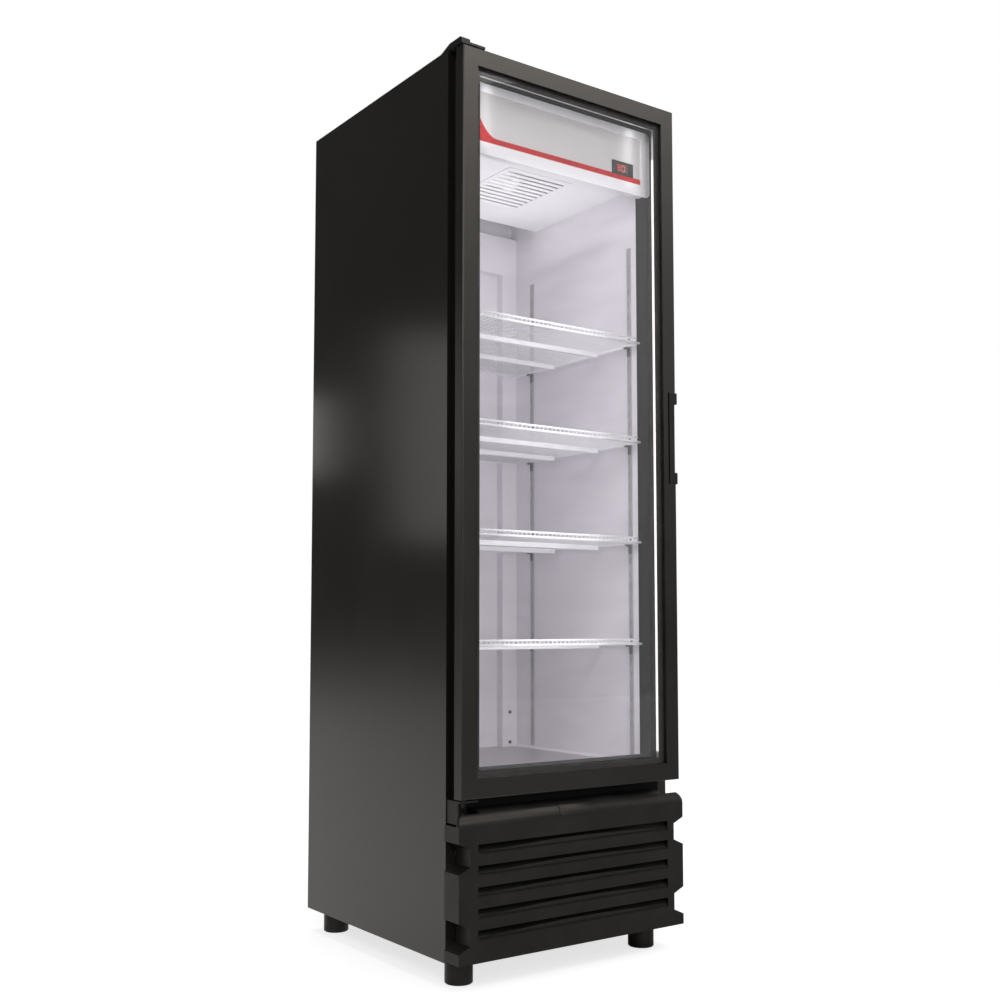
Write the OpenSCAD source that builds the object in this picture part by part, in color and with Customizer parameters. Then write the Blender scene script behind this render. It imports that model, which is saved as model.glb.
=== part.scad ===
// Glass door merchandiser: upright refrigerated display cabinet with one hinged glass door.
// Origin at the middle of the footprint on the floor, front towards -Y, +Z up, millimetres.

/* [Cabinet] */
// Outside width over the side panels
cabinet_w = 620; // [500:1:760]
// Depth of the side panels, front flange to back
cabinet_d = 620; // [520:1:760]
// Top of the cabinet above the floor
cabinet_h = 1990; // [1700:1:2400]
// Underside of the cabinet above the floor
foot_h = 53; // [45:1:80]
// Outer steel sheet
skin_t = 1; // [0.6:0.1:1.5]
// Inner liner and throat strip sheet
lining_t = 1.2; // [0.8:0.1:2]
// Side wall, outer face to inner face
side_wall = 48; // [40:1:60]
// Back wall, outer face to inner face
back_wall = 67; // [45:1:85]
// Roof wall, outer face to inner face
roof_wall = 50; // [40:1:65]
// Insulated floor, underside to the sill's top
floor_wall = 50; // [40:1:65]
// Sill's top above the ground
floor_z = 442; // [420:1:520]
// Inner floor below the sill's top
floor_sink = 20; // [10:1:25]
// Depth of the throat strips behind the front flange
throat_d = 38; // [25:1:50]
// Width of the folded front flange
flange_w = 25; // [18:1:30]
// Assembly gap between fixed sheets
fit = 0.2; // [0.1:0.05:0.4]

/* [Door] */
// Gap from the cabinet side to the door edge
door_side_gap = 4.5; // [2:0.5:8]
// Door top below the cabinet top
door_drop = 4; // [3:0.5:10]
// Door bottom below the sill's top
door_overlap = 53.5; // [40:0.5:60]
// Depth of the visible door frame
door_t = 28; // [26:1:36]
// Door frame back to the cabinet flange
door_standoff = 24.5; // [18:0.5:32]
// Face width of stiles and rails
frame_w = 39; // [34:1:60]
// Outer web of the frame profile
web_w = 12; // [11:0.5:16]
// Front lip in front of the glass
lip_t = 10; // [6:0.5:12]
// Rear lip behind the glass
rear_lip_t = 8; // [5:0.5:12]
// Set-in of the rear lip from the door edge
rear_lip_in = 6; // [3:0.5:9]
// Rounding of the front outer edge
frame_r = 3; // [1:0.5:5]
// Thickness of one glass pane
glass_t = 4; // [3:0.5:5]
// Edge clearance of the glass in its channel
glass_clear = 0.5; // [0.2:0.1:1]
// Width of the spacer bar
spacer_w = 7; // [5:0.5:10]
// Inner face of the spacer from the frame's inner edge
spacer_in = 11; // [9:0.5:24]
// Thickness of the black border behind the front pane
border_t = 1; // [0.5:0.5:2]
// Border reach past the light strips
border_over = 0.5; // [0.2:0.1:4]
// Thickness of the light strip
led_t = 2; // [1.5:0.5:4]
// Light strip end from the door bottom
led_low = 66; // [60:1:200]
// Light strip end from the door top
led_high = 124; // [60:1:300]
// Width of the gasket
gasket_w = 12; // [9:0.5:14]
// Gasket from the door edge
gasket_in = 15; // [13:0.5:18]
// Gap of the closed gasket to the flange
gasket_clear = 0.4; // [0.2:0.1:1]
// Hinge pin diameter
pin_d = 8; // [6:0.5:9]
// Radial running clearance of pins and shafts
run_clear = 0.1; // [0.05:0.01:0.1]
// Bush outer diameter
bush_d = 14; // [12:0.5:15]

/* [Handle] */
// Length of the edge pull
handle_len = 218; // [160:1:320]
// Middle of the pull above the floor
handle_z = 1189; // [900:1:1300]
// Length of each end block
handle_end = 27; // [18:1:36]
// Thickness of the grip bar
grip_t = 6; // [5:0.5:7]
// Groove between stile and grip
grip_groove = 5.5; // [4:0.5:8]
// Set-in of the grip bar from the door edge
grip_in = 3; // [2:0.5:5]
// End blocks stand proud of the door edge
handle_proud = 5; // [0:0.5:6]

/* [Shelves] */
// Top of the highest shelf below the cabinet top
shelf_drop = 551.5; // [500:0.5:700]
// Height between shelves
shelf_pitch = 241; // [200:1:260]
// Shelf front behind the flange plane
shelf_front = 19; // [12:1:30]
// Gap from the shelf back to the rear posts
shelf_back_gap = 12; // [8:1:60]
// Frame rod diameter
rod_d = 6; // [5:0.5:8]
// Deck wire thickness
wire_d = 2.6; // [2:0.2:4]
// Deck wires across the shelf
wire_count = 41; // [21:2:51]
// Height of the front fence
fence_h = 13; // [10:0.5:20]
// Stiffening bar section
bar_s = 12; // [8:1:16]
// Side rods from the liner wall
shelf_side_gap = 11; // [10:0.5:16]
// Width of a shelf pilaster
pilaster_w = 13; // [10:1:20]
// Depth of a shelf pilaster
pilaster_t = 3; // [2:0.5:4]
// Front pilaster behind the flange plane
pilaster_front = 62.5; // [55:0.5:100]
// Rear pilaster in front of the rear posts
pilaster_rear_in = 72; // [40:1:120]
// Cove along the inner floor's sides
cove = 5.5; // [3:0.5:6]
// Pitch of the pilaster slots
slot_pitch = 30; // [20:1:40]
// Resting gap of a lift-off shelf on its clips
seat_gap = 0.3; // [0.2:0.1:0.4]

/* [Canopy] */
// Canopy underside below the ceiling
canopy_drop = 127; // [110:1:160]
// Canopy depth behind the flange plane
canopy_d = 440; // [380:1:460]
// Height of the sign frame
sign_h = 160; // [146:1:165]
// Half the sign's wider reach over the throat strip
sign_lap = 11; // [6:0.5:12]
// Border round the sign panel
sign_border = 26; // [22:1:32]
// Intake louvre width
louvre_w = 176; // [160:1:240]
// Intake louvre depth
louvre_d = 224; // [190:1:260]
// Louvre middle to the right of centre
louvre_x = 20; // [-30:1:30]
// Louvre front edge behind the flange plane
louvre_y = 105; // [90:1:130]
// Thermostat bezel width
stat_w = 65.5; // [60:0.5:80]
// Thermostat bezel height
stat_h = 33; // [28:0.5:36]
// Thermostat middle to the right of centre
stat_x = 190; // [120:1:200]
// Thermostat key diameter
key_d = 5; // [4:0.5:6]
// Thermostat key travel
key_travel = 0.8; // [0.5:0.1:1.2]

/* [Base] */
// Foot diameter
foot_d = 60; // [45:1:70]
// Foot axis from the cabinet side
foot_in = 54; // [40:1:70]
// Front foot axis behind the flange plane
foot_front = 31; // [31:1:70]
// Rear foot axis from the back
foot_back = 48; // [45:1:90]
// Foot stud diameter
stud_d = 12; // [8:1:16]
// Grille overhang past each cabinet side
grille_lap = 3; // [1:0.5:8]
// Grille front in front of the flange plane
grille_proud = 54; // [46:1:60]
// Grille bottom above the floor
grille_low = 58; // [50:1:90]
// Grille top below the sill's top
grille_drop = 77; // [70:1:100]
// Grille wall
grille_wall = 4; // [3:0.5:5]
// Rounding of the grille's top bar
grille_r = 30; // [20:1:40]
// Raised tab on the grille's top bar
tab_t = 1.5; // [0.5:0.5:3]
// Depth of the side notches
notch_d = 28.5; // [20:0.5:34]
// Straight height of a side notch
notch_flat = 36.5; // [28:0.5:44]
// Height of a notch's slanted end
notch_slant = 12.5; // [8:0.5:18]
// Height of a louvre slot at its ends
vent_h = 16.5; // [12:0.5:20]
// Louvre slot height lost at the middle
vent_bow = 9; // [4:0.5:11]
// Height of the crease under a louvre slot
crease_h = 4; // [2:0.5:6]
// Depth of the crease
crease_d = 2.5; // [1:0.1:2.6]
// Number of louvre slots
vent_count = 5; // [3:1:6]

/* [Hidden] */
$fn = 64;

// Colours as the photo shows them
black = [0.10, 0.10, 0.10];
charcoal = [0.16, 0.16, 0.16];
white = [0.92, 0.92, 0.94];
silver = [0.75, 0.76, 0.78];
steel = [0.62, 0.63, 0.65];
copper = [0.72, 0.43, 0.28];
foam = [0.90, 0.86, 0.68];
glass = [0.80, 0.88, 0.90, 0.3];

// Cabinet planes
half_w = cabinet_w / 2;
face_y = (grille_proud + tab_t - cabinet_d) / 2;
back_y = face_y + cabinet_d;
inner_x = half_w - side_wall;
liner_y = face_y + throat_d;
rear_y = back_y - back_wall;
ceiling_z = cabinet_h - roof_wall;
deck_z = floor_z - floor_wall;
bed_z = floor_z - floor_sink;
frame_x = half_w - flange_w - fit;
pan_t = 2;
pan_z = foot_h + pan_t;

// Door planes
door_x = half_w - door_side_gap;
door_low = floor_z - door_overlap;
door_high = cabinet_h - door_drop;
door_h = door_high - door_low;
door_y = face_y - door_standoff - door_t;
glass_x = door_x - web_w - glass_clear;
glass_low = door_low + web_w + glass_clear;
glass_high = door_high - web_w - glass_clear;
glass_y = door_y + lip_t;
glass_gap = door_t - lip_t - 2 * glass_t;
spacer_u = frame_w + spacer_in;
pivot_x = -(door_x - web_w);
pivot_y = door_y + door_t / 2;

// Hinge sizes
bush_h = web_w;
bracket_t = 4;
collar_h = 2;
thrust_gap = 0.3;
lower_plate_z = door_low - thrust_gap - collar_h;
bracket_reach = 50;
bracket_drop = 48;
hinge_w = 58;
cover_h = 12;
cover_step = 6;
cover_w = 22;
cover_back = 31;
cover_slope = 36;
cover_skirt = 1.5;
bracket_back = 15;
cover_skin = 1.6;
cover_cap = 1.2;

// Handle sizes
handle_low = handle_z - handle_len / 2;
handle_high = handle_z + handle_len / 2;
pocket_back = 2;
pocket_web = 1;
grip_x0 = door_x - 19;
pocket_x0 = grip_x0 - grip_groove;
pocket_x1 = door_x - web_w + pocket_web;

// Shelf sizes
shelf_tops = [for (i = [0:3]) cabinet_h - shelf_drop - i * shelf_pitch];
post_w = 48;
post_d = 25;
post_y = rear_y - post_d;
shelf_y0 = face_y + shelf_front;
shelf_y1 = post_y - shelf_back_gap;
rod_x = inner_x - shelf_side_gap;
bar_ys = [shelf_y0 + 0.29 * (shelf_y1 - shelf_y0), shelf_y0 + 0.64 * (shelf_y1 - shelf_y0)];
bar_short = 11;
bar_sink = 0.5;
rod_long = 5;
pilaster_ys = [face_y + pilaster_front, post_y - pilaster_rear_in];
pilaster_drop = 320;
clip_h = 22;
clip_w = 10;
clip_ledge = 4;

// Canopy planes
canopy_z = ceiling_z - canopy_drop;
canopy_back = face_y + canopy_d;
tray_t = 3;
tray_x = inner_x - fit;
tray_front = face_y + 62;
header_z = canopy_z - 108;
sign_x = inner_x + sign_lap;
sign_high = ceiling_z - 1;
sign_low = sign_high - sign_h;
sign_t = 1;
sign_depth = 12;
sign_r = 14;
panel_x = inner_x - 15;
panel_low = sign_low + sign_border + 2;
panel_high = sign_high - sign_border + 6;
panel_y = face_y + 4;
panel_t = 2;
panel_lap = 3;
stat_z = panel_low + 30;
stat_y = panel_y - 2;
stat_body_d = 46;
stat_body_in = 3;
window_w = 46;
window_h = 19;
window_x = stat_x - 4;
key_x = stat_x + 24;
key_zs = [stat_z + 7, stat_z - 7];
key_clear = 0.3;
key_len = 4.5;
key_proud = 0.9;
key_hole = key_len - key_proud + key_travel + 0.6;
fan_x = louvre_x;
fan_y = face_y + louvre_y + louvre_d / 2;
fan_z = canopy_z + 18;
fan_h = 24;
shaft_d = 6;
coil_back = canopy_back - 15;
coil_d = 70;
coil_x = inner_x - 52;
coil_z0 = canopy_z + tray_t;
coil_z1 = ceiling_z - 18;

// Machine room places
foot_ys = [face_y + foot_front, back_y - foot_back];
foot_x = half_w - foot_in;
foot_gap = 3;
stud_top = pan_z + 34;
rail_w = 44;
rail_h = 25;
rail_t = 2.5;
stud_clear = 0.3;
comp_x = half_w - 160;
comp_y = back_y - 170;
comp_r = 75;
comp_plate_z = pan_z + 15;
comp_plate = [210, 130];
cond_x = [-half_w + 40, 60];
cond_y = [face_y + 70, face_y + 140];
cond_top = deck_z - 85;
shroud_depth = 14;
cfan_x = (cond_x[0] + cond_x[1]) / 2;
cfan_z = (pan_z + cond_top) / 2;
cfan_d = 200;
cfan_y = cond_y[1] + shroud_depth + 8;
cmotor_y = cfan_y + fan_h + 6;
cmotor_d = 84;
cover_y = back_y - 12;
tab_w = 18;
gland_x = -half_w + 70;
gland_z = deck_z - 60;
gland_bore = 9;
gland_d = 22;
screw_d = 4;
screw_head = 9;
screw_head_t = 2;
screw_len = 6;
screw_hole = screw_d + 2 * fit;
line_x = [-inner_x + 34, -inner_x + 14];
line_y = rear_y - 12;
suction_d = 10;
liquid_d = 6;
drier_d = 20;
line_hole = 40;
sill_low = floor_z - 112;
cover_vent_xs = [-0.03 * cabinet_w, 0.29 * cabinet_w];
cover_vent_len = 0.24 * cabinet_w;
cond_rows = 4;
coil_rows = 3;

// Screw places: x and z on the rear cover, the rear posts and the lower hinge; side holes of the posts
cover_screws = [for (x = [-1, 1], i = [0:2])
    [x * (half_w - 10), pan_z + 25 + i * (deck_z - pan_z - 50) / 2]];
post_low = 12;
post_pitch = 80;
post_screws = [for (x = [-1, 1], i = [0:1])
    [x * (inner_x - post_w / 2), bed_z + post_low + i * post_pitch]];
post_hole_zs = [for (i = [0:2]) bed_z + post_low + i * post_pitch];
post_hole = 6;
hinge_screws = [for (x = [13, 38], z = [16, 36]) [-half_w + x, lower_plate_z - z]];

// Grille planes
grille_w = cabinet_w + 2 * grille_lap;
grille_x = grille_w / 2;
grille_high = floor_z - grille_drop;
grille_y = face_y - grille_proud;
notch_zs = [grille_low + 54, grille_low + 213];
vent_x = grille_x - 48;
vent_top = grille_high - 76.5;
vent_pitch = 43.3;
blade_t = 2;
blade_len = 24;
blade_tilt = 38;
corner_in = 58;
corner_front = 43;
corner_drop = 30;
tab_len = 100;
crease_lap = 0.6;
vent_zs = [for (i = [0:vent_count - 1]) vent_top - i * vent_pitch];

// Box given by its limits along each axis
module slab(x, y, z) {
    translate([x[0], y[0], z[0]]) cube([x[1] - x[0], y[1] - y[0], z[1] - z[0]]);
}

// A shape and its mirror image on the other side of the middle plane
module both_sides() {
    children();
    mirror([1, 0, 0]) children();
}

// Flat outline in X and Z, drawn from plane y0 towards +Y
module plate_xz(y0, depth) {
    translate([0, y0 + depth, 0]) rotate([90, 0, 0]) linear_extrude(depth) children();
}

// Flat outline in Y and Z, drawn from plane x0 towards +X
module plate_yz(x0, depth) {
    translate([x0, 0, 0]) rotate([90, 0, 90]) linear_extrude(depth) children();
}

// Round bar along Y
module bar_y(x, z, d, y0, y1) {
    translate([x, y0, z]) rotate([-90, 0, 0]) cylinder(d = d, h = y1 - y0);
}

// Round tube along a list of points with square elbow blocks at the corners
module tube_run(points, d) {
    for (i = [0:len(points) - 2]) {
        run = points[i + 1] - points[i];
        length = norm(run);
        translate(points[i])
            rotate([0, acos(run[2] / length), atan2(run[1], run[0])]) cylinder(d = d, h = length);
        if (i > 0) translate(points[i]) cube(d + 2, center = true);
    }
}

// Rectangular ring in X and Z between two insets from the door edge
module door_ring(outer_u, inner_u, y0, depth) {
    difference() {
        slab([-door_x + outer_u, door_x - outer_u], [y0, y0 + depth],
            [door_low + outer_u, door_high - outer_u]);
        slab([-door_x + inner_u, door_x - inner_u], [y0 - 1, y0 + depth + 1],
            [door_low + inner_u, door_high - inner_u]);
    }
}

// Clearance holes for screws driven along Y near plane y
module screw_holes(places, y) {
    for (s = places) bar_y(s[0], s[1], screw_hole, y - 9, y + 9);
}

// Right side panel: sheet, front flange and the tabs that carry the rear cover
module side_panel() {
    slab([half_w - skin_t, half_w], [face_y, back_y], [foot_h, cabinet_h]);
    slab([half_w - flange_w, half_w], [face_y, face_y + skin_t], [foot_h, cabinet_h]);
    difference() {
        slab([half_w - tab_w, half_w], [cover_y - skin_t, cover_y], [pan_z, deck_z]);
        screw_holes(cover_screws, cover_y);
    }
}

module left_side_panel() {
    color(black) difference() {
        mirror([1, 0, 0]) side_panel();
        screw_holes(hinge_screws, face_y);
    }
}

module right_side_panel() {
    color(black) side_panel();
}

module top_panel() {
    color(black) {
        slab([-half_w + skin_t, half_w - skin_t], [face_y + skin_t, back_y], [cabinet_h - skin_t, cabinet_h]);
        slab([-frame_x, frame_x], [face_y, face_y + skin_t], [cabinet_h - flange_w, cabinet_h]);
    }
}

module back_panel() {
    color(charcoal)
        slab([-half_w + skin_t, half_w - skin_t], [back_y - skin_t, back_y], [deck_z, cabinet_h - skin_t]);
}

// Cross member under the opening, which carries the lower hinge
module front_sill() {
    color(black) difference() {
        slab([-frame_x, frame_x], [face_y, face_y + skin_t], [sill_low, floor_z - side_wall + flange_w]);
        screw_holes(hinge_screws, face_y);
    }
}

// Foam in six slabs with the passage for the refrigerant lines
module foam_walls() {
    y0 = face_y + lining_t;
    y1 = back_y - skin_t;
    core_x = inner_x + lining_t - fit;
    color(foam) {
        both_sides()
            slab([inner_x + lining_t, half_w - skin_t], [y0, y1], [deck_z, cabinet_h - skin_t]);
        slab([-core_x, core_x], [y0, y1], [ceiling_z + lining_t, cabinet_h - skin_t]);
        difference() {
            slab([-core_x, core_x], [y0, y1], [deck_z, bed_z - lining_t]);
            line_passage();
        }
        slab([-core_x, core_x], [y0, liner_y], [bed_z - lining_t + fit, floor_z - lining_t]);
        slab([-core_x, core_x], [rear_y + lining_t, y1],
            [bed_z - lining_t + fit, ceiling_z + lining_t - fit]);
    }
}

// Opening through the insulated floor behind the left rear post
module line_passage() {
    slab([-inner_x + 4, -inner_x + 4 + line_hole], [line_y - 9, line_y + 9], [deck_z - 9, floor_z + 9]);
}

// White inner sheets: two sides, back and ceiling
module liner_walls() {
    color(white) {
        both_sides() slab([inner_x, inner_x + lining_t], [liner_y, rear_y], [bed_z, ceiling_z - fit]);
        slab([-inner_x + fit, inner_x - fit], [rear_y, rear_y + lining_t], [bed_z, ceiling_z - fit]);
        slab([-inner_x, inner_x], [liner_y, rear_y + lining_t], [ceiling_z, ceiling_z + lining_t]);
    }
}

// Inner floor, sunk behind the sill, with a cove along both side walls
module liner_floor() {
    color(silver) difference() {
        union() {
            slab([-inner_x, inner_x], [liner_y, rear_y + lining_t], [bed_z - lining_t, bed_z]);
            slab([-inner_x, inner_x], [liner_y, liner_y + lining_t], [bed_z - lining_t, floor_z]);
            both_sides() plate_xz(liner_y, post_y - fit - liner_y)
                polygon([[inner_x, bed_z - lining_t / 2], [inner_x - cove, bed_z - lining_t / 2],
                    [inner_x - cove, bed_z], [inner_x, bed_z + cove]]);
        }
        line_passage();
    }
}

// Black strips round the opening: a throat leg and a front leg on each side
module breaker_strips() {
    front = [face_y, face_y + lining_t];
    throat = [face_y, liner_y - fit];
    color(black) {
        both_sides() {
            slab([inner_x, frame_x], front, [floor_z, ceiling_z]);
            slab([inner_x, inner_x + lining_t], throat, [floor_z, ceiling_z]);
        }
        slab([-frame_x, frame_x], front, [ceiling_z + fit, cabinet_h - flange_w - fit]);
        slab([-inner_x + fit, inner_x - fit], throat, [ceiling_z, ceiling_z + lining_t]);
        slab([-frame_x, frame_x], front, [floor_z - side_wall + flange_w + fit, floor_z - fit]);
        slab([-inner_x + fit, inner_x - fit], throat, [floor_z - lining_t, floor_z]);
    }
}

module rear_posts() {
    color(white) difference() {
        both_sides() {
            slab([inner_x - post_w, inner_x - fit], [post_y, post_y + lining_t], [bed_z, header_z]);
            slab([inner_x - post_w, inner_x - post_w + lining_t], [post_y, rear_y], [bed_z, header_z]);
        }
        screw_holes(post_screws, post_y);
        for (z = post_hole_zs) translate([-inner_x, post_y + post_d / 2, z])
            rotate([0, 90, 0]) cylinder(d = post_hole, h = 2 * inner_x);
    }
}

module rear_header() {
    color(white) {
        slab([-inner_x + fit, inner_x - fit], [post_y, post_y + lining_t], [header_z + fit, canopy_z - 2]);
        slab([-inner_x + post_w + fit, inner_x - post_w - fit], [post_y, rear_y],
            [header_z + fit, header_z + fit + lining_t]);
    }
}

// Slotted strips for the shelf clips, front and rear on both walls
module shelf_pilasters() {
    low = bed_z + cove + 2;
    high = cabinet_h - pilaster_drop;
    slots = floor((high - low - 20) / slot_pitch);
    color(charcoal) both_sides() for (y = pilaster_ys) difference() {
        slab([inner_x - pilaster_t, inner_x], [y - pilaster_w / 2, y + pilaster_w / 2], [low, high]);
        for (i = [0:slots - 1])
            slab([inner_x - pilaster_t - 1, inner_x + 1], [y - 1.6, y + 1.6],
                [low + 14 + i * slot_pitch, low + 26 + i * slot_pitch]);
    }
}

// Angle clips under the shelf rods
module shelf_clips() {
    face_x = inner_x - pilaster_t;
    color(steel) both_sides() for (y = pilaster_ys, top = shelf_tops) {
        seat = top - fence_h - rod_d / 2 - seat_gap;
        slab([rod_x - rod_d / 2 - 2, face_x], [y - clip_w / 2, y + clip_w / 2], [seat - clip_ledge, seat]);
        slab([face_x - 2, face_x], [y - clip_w / 2, y + clip_w / 2], [seat - clip_h, seat]);
    }
}

// White wire shelf with a raised front fence and two stiffening bars
module wire_shelf(top) {
    deck = top - fence_h;
    fence_y = shelf_y0 + rod_d / 2;
    rail_d = rod_d - 1;
    color(white) {
        translate([0, 0, deck - rod_d / 2]) linear_extrude(rod_d) shelf_rods();
        translate([0, 0, deck - wire_d / 2]) linear_extrude(wire_d) wire_row(fence_y, shelf_y1 - rod_d / 2);
        plate_xz(fence_y - wire_d / 2, wire_d) wire_row(deck, top - rail_d / 2);
        slab([-rod_x + 4, rod_x - 4], [fence_y - rail_d / 2, fence_y + rail_d / 2], [top - rail_d, top]);
        for (y = bar_ys)
            slab([-rod_x + bar_short, rod_x - bar_short], [y - bar_s / 2, y + bar_s / 2],
                [deck - wire_d / 2 - bar_s + bar_sink, deck - wire_d / 2 + bar_sink]);
    }
}

// Outer rods of a shelf seen from above, the front one longer
module shelf_rods() {
    for (x = [-rod_x, rod_x]) translate([x - rod_d / 2, shelf_y0]) square([rod_d, shelf_y1 - shelf_y0]);
    translate([-rod_x - rod_long, shelf_y0]) square([2 * (rod_x + rod_long), rod_d]);
    translate([-rod_x, shelf_y1 - rod_d]) square([2 * rod_x, rod_d]);
}

// Parallel wires between two cross strips that lie inside the rods
module wire_row(low, high) {
    span = 2 * (rod_x - 9);
    for (i = [0:wire_count - 1])
        translate([-span / 2 + i * span / (wire_count - 1) - wire_d / 2, low]) square([wire_d, high - low]);
    for (edge = [low, high]) translate([-span / 2, edge - wire_d / 2]) square([span, wire_d]);
}

// Tray under the evaporator, hung from the ceiling by its sides
module canopy_tray() {
    color(white) difference() {
        union() {
            slab([-tray_x, tray_x], [tray_front, canopy_back], [canopy_z, canopy_z + tray_t]);
            both_sides()
                slab([tray_x - tray_t, tray_x], [tray_front, canopy_back], [canopy_z, ceiling_z]);
            slab([-tray_x, tray_x], [canopy_back - tray_t, canopy_back], [canopy_z, canopy_z + 22]);
        }
        slab([louvre_x - louvre_w / 2, louvre_x + louvre_w / 2],
            [face_y + louvre_y, face_y + louvre_y + louvre_d], [canopy_z - 1, canopy_z + tray_t + 1]);
    }
}

module intake_louvre() {
    rim = 6;
    rim_t = 2;
    slats = 11;
    slat_w = 9;
    slat_t = 1.6;
    slat_tilt = -15;
    wide = louvre_w / 2 - fit;
    y0 = face_y + louvre_y + fit;
    y1 = face_y + louvre_y + louvre_d - fit;
    color(white) {
        difference() {
            slab([louvre_x - wide - rim, louvre_x + wide + rim], [y0 - rim, y1 + rim],
                [canopy_z - rim_t, canopy_z]);
            slab([louvre_x - wide + 4, louvre_x + wide - 4], [y0 + 4, y1 - 4], [canopy_z - 9, canopy_z + 9]);
        }
        for (i = [0:slats - 1])
            translate([louvre_x - wide, y0 + 8 + i * (y1 - y0 - 16) / (slats - 1), canopy_z])
                rotate([slat_tilt, 0, 0]) translate([0, -slat_w / 2, -slat_t / 2])
                    cube([2 * wide, slat_w, slat_t]);
    }
}

// Rounded rectangle in X and Z
module rounded_outline(half, low, high, r) {
    translate([-half + r, low]) square([2 * (half - r), high - low]);
    translate([-half, low + r]) square([2 * half, high - low - 2 * r]);
    for (x = [-1, 1], z = [low + r, high - r]) translate([x * (half - r), z]) circle(r);
}

// Sign surround: thin face over the throat, deeper ring inside it, sloped lower apron
module sign_frame() {
    color(white) {
        plate_xz(face_y - sign_t, sign_t) difference() {
            rounded_outline(sign_x, sign_low, sign_high, sign_r);
            panel_opening();
        }
        plate_xz(face_y - sign_t, panel_y - face_y + sign_t) difference() {
            rounded_outline(inner_x - fit, sign_low, sign_high, sign_r);
            panel_opening();
        }
        plate_xz(panel_y, sign_depth) difference() {
            rounded_outline(inner_x - fit, sign_low, sign_high, sign_r);
            translate([-panel_x - panel_lap - fit, panel_low - panel_lap - fit])
                square([2 * (panel_x + panel_lap + fit), panel_high - panel_low + 2 * (panel_lap + fit)]);
        }
        plate_yz(-inner_x + sign_r + 2, 2 * (inner_x - sign_r - 2))
            polygon([[face_y + 2, sign_low], [tray_front - fit, canopy_z],
                [tray_front - fit, canopy_z + tray_t], [face_y + 2, sign_low + 5]]);
    }
}

module panel_opening() {
    translate([-panel_x, panel_low]) square([2 * panel_x, panel_high - panel_low]);
}

module sign_panel() {
    body_x = stat_w / 2 - stat_body_in + fit;
    body_z = stat_h / 2 - stat_body_in + fit;
    color(silver) difference() {
        slab([-panel_x - panel_lap, panel_x + panel_lap], [panel_y, panel_y + panel_t],
            [panel_low - panel_lap, panel_high + panel_lap]);
        slab([stat_x - body_x, stat_x + body_x], [panel_y - 1, panel_y + panel_t + 1],
            [stat_z - body_z, stat_z + body_z]);
    }
}

module thermostat_case() {
    body_x = stat_w / 2 - stat_body_in;
    body_z = stat_h / 2 - stat_body_in;
    color(black) difference() {
        union() {
            slab([stat_x - stat_w / 2, stat_x + stat_w / 2], [stat_y, panel_y],
                [stat_z - stat_h / 2, stat_z + stat_h / 2]);
            slab([stat_x - body_x, stat_x + body_x], [stat_y, stat_y + stat_body_d],
                [stat_z - body_z, stat_z + body_z]);
        }
        slab([window_x - window_w / 2, window_x + window_w / 2], [stat_y - 1, stat_y + 1.2],
            [stat_z - window_h / 2, stat_z + window_h / 2]);
        for (z = key_zs) bar_y(key_x, z, key_d + 2 * key_clear, stat_y - 1, stat_y + key_hole);
    }
}

module thermostat_window() {
    color([0.25, 0.04, 0.04])
        slab([window_x - window_w / 2 + fit, window_x + window_w / 2 - fit], [stat_y + 0.2, stat_y + 1.2],
            [stat_z - window_h / 2 + fit, stat_z + window_h / 2 - fit]);
}

module thermostat_key(z) {
    color(charcoal) bar_y(key_x, z, key_d, stat_y - key_proud, stat_y - key_proud + key_len);
}

module key_up() {
    thermostat_key(key_zs[0]);
}

module key_down() {
    thermostat_key(key_zs[1]);
}

// Finned heat exchanger between two end plates, tubes along X
module finned_coil(x, y, z, fins, tube_d, rows) {
    end_t = 3;
    fin_t = 1.2;
    pitch = (x[1] - x[0] - 2 * end_t) / (fins + 1);
    for (x0 = [x[0], x[1] - end_t]) slab([x0, x0 + end_t], y, z);
    for (i = [1:fins]) slab([x[0] + end_t + i * pitch, x[0] + end_t + i * pitch + fin_t],
        [y[0] + 4, y[1] - 4], [z[0] + 8, z[1] - 6]);
    for (i = [1:rows]) {
        tube_z = z[0] + i * (z[1] - z[0]) / (rows + 1);
        translate([x[0] - 6, (y[0] + y[1]) / 2, tube_z]) rotate([0, 90, 0])
            cylinder(d = tube_d, h = x[1] - x[0] + 12);
    }
}

module evaporator_coil() {
    color(silver)
        finned_coil([-coil_x, coil_x], [coil_back - coil_d, coil_back], [coil_z0, coil_z1],
            14, 10, coil_rows);
}

// Axial fan: hub with a shaft bore and pitched blades, axis along Z from the hub's lower face
module axial_fan(d, blades, hub_d) {
    difference() {
        union() {
            cylinder(d = hub_d, h = fan_h);
            intersection() {
                cylinder(d = d, h = fan_h);
                for (i = [0:blades - 1])
                    rotate(i * 360 / blades) translate([hub_d / 2 - 3, 0, fan_h / 2]) rotate([28, 0, 0])
                        translate([0, -d / 7, -0.8]) cube([d / 2, d / 3.5, 1.6]);
            }
        }
        translate([0, 0, 4]) cylinder(d = shaft_d + 2 * run_clear, h = fan_h);
    }
}

// Motor can with its shaft reaching down into the fan hub
module fan_motor(d, h, reach) {
    cylinder(d = d, h = h);
    translate([0, 0, -reach]) cylinder(d = shaft_d, h = reach + 1);
}

module evaporator_fan_motor() {
    gap = 4;
    can_z = fan_z + fan_h + gap;
    can_h = 40;
    color(charcoal) {
        translate([fan_x, fan_y, can_z]) fan_motor(56, can_h, gap + fan_h - 6);
        slab([fan_x - 40, fan_x + 40], [fan_y - 15, fan_y + 15], [can_z + can_h, ceiling_z]);
    }
}

module evaporator_fan() {
    color(charcoal) translate([fan_x, fan_y, fan_z]) axial_fan(156, 5, 36);
}

module stud_holes(clear) {
    for (x = [-foot_x, foot_x], y = foot_ys)
        translate([x, y, foot_h - 1]) cylinder(d = stud_d + 2 * clear, h = rail_h + 9);
}

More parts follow.
